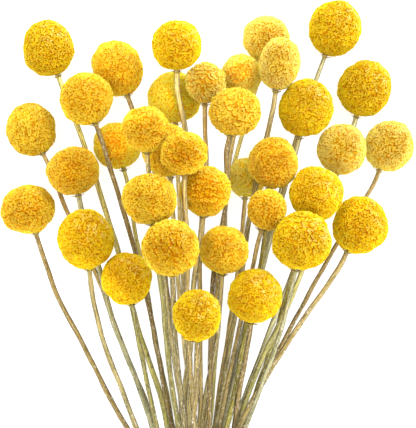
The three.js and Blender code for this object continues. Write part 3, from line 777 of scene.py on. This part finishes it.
def head_form(points, seat, towards):
    """Centre, axis, half length and half width of the ball that a CAD head stands for."""
    axis = np.array(towards)
    heights = points @ axis
    half_length = (heights.max() - heights.min()) / (HEAD_SEAT_SHARE + HEAD_FLAT_SHARE)
    centre = seat + axis * (HEAD_SEAT_SHARE * half_length + SEAT_GAP)
    aside = points - centre - np.outer((points - centre) @ axis, axis)
    return centre, axis, half_length, np.linalg.norm(aside, axis=1).max()


def beside(axis):
    """Two directions at right angles to an axis and to each other."""
    side = np.cross(axis, (0.0, 0.0, 1.0))
    side /= np.linalg.norm(side)
    return side, np.cross(axis, side)


def ripples(unit, pace, count, chance):
    """Waves that run over a ball in so many random directions, added up."""
    return sum(np.sin(unit @ chance.normal(size=3) * pace + chance.uniform(0, FULL_TURN))
               for _ in range(count))


def dried_relief(unit, wrinkled, chance):
    """How far a heart stands out at each of its points, with lumps, swells, knobs and furrows."""
    lumps = chance.normal(size=(LUMP_COUNT, 3))
    lumps /= np.linalg.norm(lumps, axis=1)[:, None]
    nearness = np.sort(unit @ lumps.T, axis=1)
    crease = np.clip((nearness[:, -1] - nearness[:, -2]) / CREASE_WIDTH, 0, 1) ** CREASE_SHARPNESS - 1
    waves = ripples(unit, WAVE_PACE, WAVE_COUNT, chance) / WAVE_COUNT
    swells = ripples(unit, SWELL_PACE, SWELL_COUNT, chance) / SWELL_COUNT
    knobs = ripples(unit, KNOB_PACE, KNOB_COUNT, chance) / KNOB_EVENNESS
    bend = ripples(unit, BEND_PACE, 1, chance)
    furrows = unit @ chance.normal(size=3) / USUAL_LENGTH * WRINKLES
    wrinkles = np.sin(furrows + WRINKLE_WANDER * bend) - WRINKLE_LEVEL
    return (LUMP_HEIGHT * (CREASE_SHARE * crease + WAVE_SHARE * waves) + SWELL_HEIGHT * swells
            + KNOB_HEIGHT * knobs + WRINKLE_HEIGHT * wrinkled * wrinkles)


def head_heart(name, form, wrinkled, tone, top_shade, rim_sheen, chance):
    """The ball under the florets, which carries what they need to know of their place on it."""
    centre, axis, half_length, half_width = form
    ball = bmesh.new()
    bmesh.ops.create_icosphere(ball, subdivisions=HEART_DETAIL, radius=1.0)
    mesh = bpy.data.meshes.new(name)
    ball.to_mesh(mesh)
    ball.free()
    round_points = np.empty(len(mesh.vertices) * 3)
    mesh.vertices.foreach_get("co", round_points)
    unit = round_points.reshape(-1, 3)
    relief = dried_relief(unit, wrinkled, chance)
    side, up = beside(axis)
    outward = np.outer(unit[:, 0], side) + np.outer(unit[:, 1], up) + np.outer(unit[:, 2], axis)
    plump = (np.outer(unit[:, 0] * half_width, side) + np.outer(unit[:, 1] * half_width, up)
             + np.outer(unit[:, 2] * half_length, axis))
    shrink = 1 - FLORET_LENGTH * HEART_INSET / half_width
    mesh.vertices.foreach_set("co", (centre + plump * shrink + outward * relief[:, None]).ravel())
    mesh.update()
    off_axis = np.linalg.norm(unit[:, :2], axis=1) * half_width
    facing_up = outward[:, 2]
    # Painted shade: the underside is darker, the upper side is marked for its painted darker top and the rim
    # for its paler painted sheen.
    underside = np.clip(-facing_up / UNDERSIDE_FROM, 0, 1)
    painted_top_shade = np.clip((facing_up - TOP_SHADE_FROM) / (1 - TOP_SHADE_FROM), 0, 1)
    set_attribute(mesh, "covered", ((unit[:, 2] > 0) | (off_axis > BARE_SEAT)).astype(float))
    # The heart takes the throat's colour and a dull shade: painted shade where it shows in the gaps between
    # the florets.
    set_attribute(mesh, "tip", np.full(len(unit), THROAT_TONE))
    set_attribute(mesh, "shade", np.full(len(unit), HEART_SHADE))
    set_attribute(mesh, "tone", tone * (1 - UNDERSIDE_SHADE * underside))
    set_attribute(mesh, "painted_top_shade", painted_top_shade * top_shade - rim_sheen)
    return mesh


def group_of(number, groups, usual):
    """The name of the group that a flower is in, or the usual one."""
    return next((name for name, members in groups.items() if number in members), usual)


head_finishes = {name: floret_finish(name + " florets", colours) for name, colours in FLORET_COLOURS.items()}
head_chance = np.random.default_rng(HEART_SEED)
for number, node in enumerate(head_nodes, 1):
    finish = group_of(number, COLOUR_GROUPS, "gold")
    tone = HEAD_TONES[group_of(number, TONE_GROUPS, "usual")]
    wrinkled = 1.0 if number in WRINKLED_HEADS else FAINT_WRINKLES
    # How strongly this head's upper side is painted darker as shade.
    top_shade = STRONG_TOP_SHADE if number in STRONG_TOP_SHADE_HEADS else 0.0 if number in NO_TOP_SHADE_HEADS else TOP_SHADE_STRENGTH[finish]
    seat, towards = seats[node]
    form = head_form(head_points[node], seat, towards)
    heart = head_heart(node + "_heart", form, wrinkled, tone, top_shade, PAINTED_RIM_SHEEN[finish], head_chance)
    # The painted highlight lies on the side of each head towards the lamp, above and to the right.
    highlight_side = Vector(towards) + Vector(HIGHLIGHT_LEAN)
    piece = grown("flower_" + node, heart, floret_tree, {
        "Highlight Side": highlight_side.normalized() * HIGHLIGHT_STRENGTH[finish],
        "Spacing": FLORET_SPACING, "Crowding": FLORET_CROWDING, "Radius": FLORET_RADIUS,
        "Length": FLORET_LENGTH, "Stray": FLORET_STRAY, "Seed": number, "Finish": head_finishes[finish]})
    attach(piece, "root")
    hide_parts(node)
bpy.data.objects.remove(floret)

# Bracts
# A few small papery bracts hug the foot of each head, where it widens from the stem. They are the
# dry green-brown scales of the bud, and stay on the stem as a short ragged cup.

BRACT_COUNT = 9
BRACT_REACHES = (0.0012, 0.0021, 0.0031, 0.0041)
BRACT_HALF_WIDTHS = (0.0004, 0.0006, 0.00045)
BRACT_DROP = 0.0009
BRACT_RAGGEDNESS = 0.0002
BRACT_OFF_HEAD = 0.0005
BRACT_HALF_THICKNESS = 0.00008
BRACT_STRAY = 0.3
SHORTEST_BRACT = 0.7
LONGEST_BRACT = 1.15
BRACT_SEED = 31
BRACT_COLOURS = {0.35: (0.25, 0.21, 0.05), 0.65: (0.60, 0.52, 0.18)}
BRACT_GRAIN = {"Scale": 500.0, "Detail": 3.0}
BRACT_SURFACE = {"Roughness": 0.7}

bract_chance = np.random.default_rng(BRACT_SEED)
points, faces = [], []
for node in head_nodes:
    centre, axis, half_length, half_width = head_form(head_points[node], *seats[node])
    side, up = beside(axis)
    strays = bract_chance.uniform(-BRACT_STRAY, BRACT_STRAY, BRACT_COUNT)
    for turn in (np.arange(BRACT_COUNT) + strays) * 2 * math.pi / BRACT_COUNT:
        outward = math.cos(turn) * side + math.sin(turn) * up
        across = np.cross(axis, outward)
        length = bract_chance.uniform(SHORTEST_BRACT, LONGEST_BRACT)
        spine = []
        for step, reach in enumerate(BRACT_REACHES):
            reach = BRACT_REACHES[0] + (reach - BRACT_REACHES[0]) * length
            under = -half_length * math.sqrt(1 - (reach / half_width) ** 2) - BRACT_OFF_HEAD
            drop = BRACT_DROP if step == 0 else bract_chance.uniform(0, BRACT_RAGGEDNESS)
            spine.append(centre + outward * reach + axis * (under - drop))
        first = len(points)
        for place, half in zip(spine, BRACT_HALF_WIDTHS):
            points += [place - across * half, place - axis * BRACT_HALF_THICKNESS,
                       place + across * half, place + axis * BRACT_HALF_THICKNESS]
        points.append(spine[-1])
        faces.append([first + i for i in range(4)])
        for ring in (first, first + 4):
            faces += [(ring + i, ring + 4 + i, ring + 4 + (i + 1) % 4, ring + (i + 1) % 4) for i in range(4)]
        faces += [(first + 8 + i, first + 12, first + 8 + (i + 1) % 4) for i in range(4)]
bract_mesh = bpy.data.meshes.new("bracts")
bract_mesh.from_pydata([(x, y, max(z, 0.0)) for x, y, z in points], [], faces)
form = bmesh.new()
form.from_mesh(bract_mesh)
bmesh.ops.recalc_face_normals(form, faces=form.faces)
form.to_mesh(bract_mesh)
form.free()
bracts = put_in_scene("bracts", bract_mesh)

dry_bract, paint = new_paint("dry bract")
where = add_node(paint, "ShaderNodeTexCoord").outputs["Object"]
cover(paint, colours_along(paint, grain(paint, where, BRACT_GRAIN), BRACT_COLOURS), BRACT_SURFACE)
bract_mesh.materials.append(dry_bract)
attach(bracts, "root")

# Tie
# Three-ply natural twine is wound four times round the stems where they are narrowest, and its two
# ends are drawn through an overhand knot on top and lie along the stems.

TWINE_TURNS = 4
TWINE_PITCH = 0.00185
TWINE_RADIUS = 0.001
WINDING_POINTS = 720
PLY_RADIUS = 0.00056
PLY_OFFSET = 0.00047
PLY_LAY = 0.0062
PLY_SAMPLE = 0.0007
PLY_SHADES = (0.2, 0.5, 0.8)
ASLANT = (0.31, 0.52, 0.8)
HAIRS_ON_TWINE = 150000.0
TWINE_HAIR_LENGTH = 0.0022
TWINE_HAIR_SEED = 5
TWINE_CORNERS = 6

# The knot, in its own scale and in twine radii above the winding.
KNOT_SCALE = 0.00115
KNOT_OPENING = 0.32
KNOT_POINTS = 150
KNOT_FLATNESS = 0.9
KNOT_RISE = 0.25
KNOT_LIFT = 2.3
ROUNDING_PASSES = 12

# The loose ends: how far round the tie and how far along the stems each lies, and how far it falls.
FIRST_END = (0.62, 0.0115)
LAST_END = (-0.55, 0.0125)
END_POINTS = 30
END_LIFT = 2.0
END_FALL = 3.2
END_BLEND = 3

TWINE_COLOURS = {0.3: (0.23, 0.15, 0.07), 0.68: (0.62, 0.48, 0.29)}
TWINE_GRAIN = {"Scale": 2.4, "Detail": 5.0, "Roughness": 0.7}
TWINE_PACE = 240.0
PLY_STARTS = 57.0
TWINE_RELIEF = {"Strength": 0.7, "Distance": 0.0003}
TWINE_SURFACE = {"Roughness": 0.85, "Specular IOR Level": 0.2, "Sheen Weight": 0.25, "Sheen Roughness": 0.5}

tie_radius = (tie_high.x - tie_low.x) / 2
ring_middle = np.array([(tie_low.x + tie_high.x) / 2, tie_y, tie_high.z - tie_radius])
laid = tie_radius - TWINE_RADIUS


def round_tie(turn, offset, radius):
    """A place on the winding: how far round it is, how far along the stems, and how far out."""
    return ring_middle + np.array([radius * math.cos(turn), offset, radius * math.sin(turn)])


def evenly(path, step):
    """The same path with its points evenly spaced."""
    lengths = np.cumsum([0, *np.linalg.norm(np.diff(path, axis=0), axis=1)])
    places = np.linspace(0, lengths[-1], max(2, round(lengths[-1] / step)))
    return np.stack([np.interp(places, lengths, path[:, k]) for k in range(3)], axis=1)


def twisted_plies(path):
    """Centre lines of the three plies that turn round each other along a twine."""
    path = evenly(path, PLY_SAMPLE)
    heading = np.gradient(path, axis=0)
    heading /= np.linalg.norm(heading, axis=1)[:, None]
    normal = np.cross(heading[0], ASLANT)
    plies = [[], [], []]
    for k, (place, ahead) in enumerate(zip(path, heading)):
        normal = normal - ahead * (normal @ ahead)
        normal /= np.linalg.norm(normal)
        other = np.cross(ahead, normal)
        for ply, line in enumerate(plies):
            angle = 2 * math.pi * (k * PLY_SAMPLE / PLY_LAY + ply / 3)
            line.append(place + (math.cos(angle) * normal + math.sin(angle) * other) * PLY_OFFSET)
    return [np.array(line) for line in plies]


def overhand_knot():
    """The middle line of an overhand knot that is drawn flat on top of the winding."""
    knot = []
    for t in np.linspace(KNOT_OPENING, 2 * math.pi - KNOT_OPENING, KNOT_POINTS):
        x, y, z = math.sin(t) + 2 * math.sin(2 * t), math.cos(t) - 2 * math.cos(2 * t), -math.sin(3 * t)
        on_top = round_tie(math.pi / 2, 0, laid + KNOT_LIFT * TWINE_RADIUS)
        knot.append(on_top + np.array([x, y, KNOT_FLATNESS * z + KNOT_RISE]) * KNOT_SCALE)
    return np.array(knot)


def loose_end(start, turn, offset):
    """A twine end that drops from the knot over the turns and lies on the stems beside them."""
    end = []
    for t in np.linspace(0, 1, END_POINTS):
        radius = laid + TWINE_RADIUS * (END_LIFT - END_FALL * t * t)
        lying = round_tie(math.pi / 2 + turn * t, offset * t, radius)
        share = min(1, t * END_BLEND)
        end.append(lying * share + start * (1 - share))
    return np.array(end)


half_turns = TWINE_TURNS * math.pi
winding = np.array([round_tie(math.pi / 2 + turn, TWINE_PITCH * turn / (2 * math.pi), laid)
                    for turn in np.linspace(-half_turns, half_turns, WINDING_POINTS)])
knot = overhand_knot()
knotted = np.concatenate([loose_end(knot[0], *FIRST_END)[:0:-1], knot, loose_end(knot[-1], *LAST_END)[1:]])
for _ in range(ROUNDING_PASSES):
    knotted[1:-1] = (knotted[:-2] + 2 * knotted[1:-1] + knotted[2:]) / 4

lines, columns = [], {"thickness": [], "along": [], "shade": []}
for path in (winding, knotted):
    for shade, line in zip(PLY_SHADES, twisted_plies(path)):
        line[:, 2] = np.maximum(line[:, 2], PLY_RADIUS)
        lines.append(line)
        columns["thickness"] += [PLY_RADIUS] * len(line)
        columns["along"] += (np.arange(len(line)) * PLY_SAMPLE).tolist()
        columns["shade"] += [shade] * len(line)

twine_finish, paint = new_paint("natural twine")
own_start = product(paint, attribute(paint, "shade"), PLY_STARTS)
fibre = grain(paint, strand_place(paint, TWINE_PACE, own_start), TWINE_GRAIN)
relief = add_node(paint, "ShaderNodeBump", {"Height": fibre, **TWINE_RELIEF})
cover(paint, colours_along(paint, fibre, TWINE_COLOURS), {"Normal": relief, **TWINE_SURFACE})

twine = grown("twine_tie", lines_mesh("twine_lines", lines, columns), stem_tree, {
    "Rib Points": TWINE_CORNERS, "Rib Depth": 0.0, "Twist": 0.0, "Hairs": HAIRS_ON_TWINE,
    "Hair Length": TWINE_HAIR_LENGTH, "Seed": TWINE_HAIR_SEED, "Finish": twine_finish})
bpy.data.objects.remove(hair)
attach(twine, "root")
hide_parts("tie")

# Floor, light and camera
# The bunch lies on a white table inside a white tent, whose light comes softly from all sides. A wide
# lamp adds to it from above right, and the camera looks straight down.

FLOOR_HALF = 4
TABLE_COLOUR = (0.6, 0.6, 0.6, 1.0)
TABLE_ROUGHNESS = 0.9
TABLE_GLOW = (1.0, 1.0, 1.0, 1.0)
TABLE_GLOW_STRENGTH = 0.8
FLOWER_MIDDLE = (0.0, 0.1, 0.03)
KEY_PLACE = (0.9, 1.05, 1.05)
KEY_WIDTH = 0.9
KEY_POWER = 20
TENT_COLOUR = (1.0, 0.955, 0.84, 1.0)
TENT_LIGHT = {"From Min": 0.1, "From Max": 0.9, "To Min": 2.4, "To Max": 1.0}
CAMERA_HEIGHT = 1.2
VIEW_HEIGHT = 0.214
VIEW_LEVEL = 0.045
TOP_TO_MIDDLE = 0.1097
VIEW_SIDE = 0.0003
SENSOR_HEIGHT = 36.0

floor_mesh = bpy.data.meshes.new("floor")
floor_corners = [(-1, -1), (1, -1), (1, 1), (-1, 1)]
floor_mesh.from_pydata([(x * FLOOR_HALF, y * FLOOR_HALF, 0) for x, y in floor_corners], [], [(0, 1, 2, 3)])
floor = put_in_scene("floor", floor_mesh)
white_table = bpy.data.materials.new("white table")
white_table.use_nodes = True
board = white_table.node_tree.nodes["Principled BSDF"]
board.inputs["Base Color"].default_value = TABLE_COLOUR
board.inputs["Roughness"].default_value = TABLE_ROUGHNESS
board.inputs["Emission Color"].default_value = TABLE_GLOW
board.inputs["Emission Strength"].default_value = TABLE_GLOW_STRENGTH
floor_mesh.materials.append(white_table)

lamp = bpy.data.lights.new("key", "AREA")
lamp.size = KEY_WIDTH
lamp.energy = KEY_POWER
key = put_in_scene("key", lamp)
key.location = KEY_PLACE
key.rotation_euler = (Vector(FLOWER_MIDDLE) - Vector(KEY_PLACE)).to_track_quat("-Z", "Y").to_euler()

# The room is a white tent, open and dimmer overhead where the camera looks in.
room = bpy.data.worlds.new("studio tent")
room.use_nodes = True
tent = room.node_tree
tent.nodes.clear()
direction = add_node(tent, "ShaderNodeTexCoord").outputs["Generated"]
upward = add_node(tent, "ShaderNodeSeparateXYZ", {"Vector": direction}).outputs["Z"]
glow = spread(tent, upward, TENT_LIGHT)
tent_light = add_node(tent, "ShaderNodeBackground", {"Color": TENT_COLOUR, "Strength": glow})
add_node(tent, "ShaderNodeOutputWorld", {"Surface": tent_light})
bpy.context.scene.world = room
bpy.context.scene.view_settings.view_transform = "Standard"

view = bpy.data.cameras.new("camera")
view.sensor_fit = "VERTICAL"
view.sensor_height = SENSOR_HEIGHT
view.lens = SENSOR_HEIGHT * (CAMERA_HEIGHT - VIEW_LEVEL) / VIEW_HEIGHT
camera = put_in_scene("camera", view)
camera.location = (VIEW_SIDE, cad_box[1][1] - TOP_TO_MIDDLE, CAMERA_HEIGHT)
bpy.context.scene.camera = camera
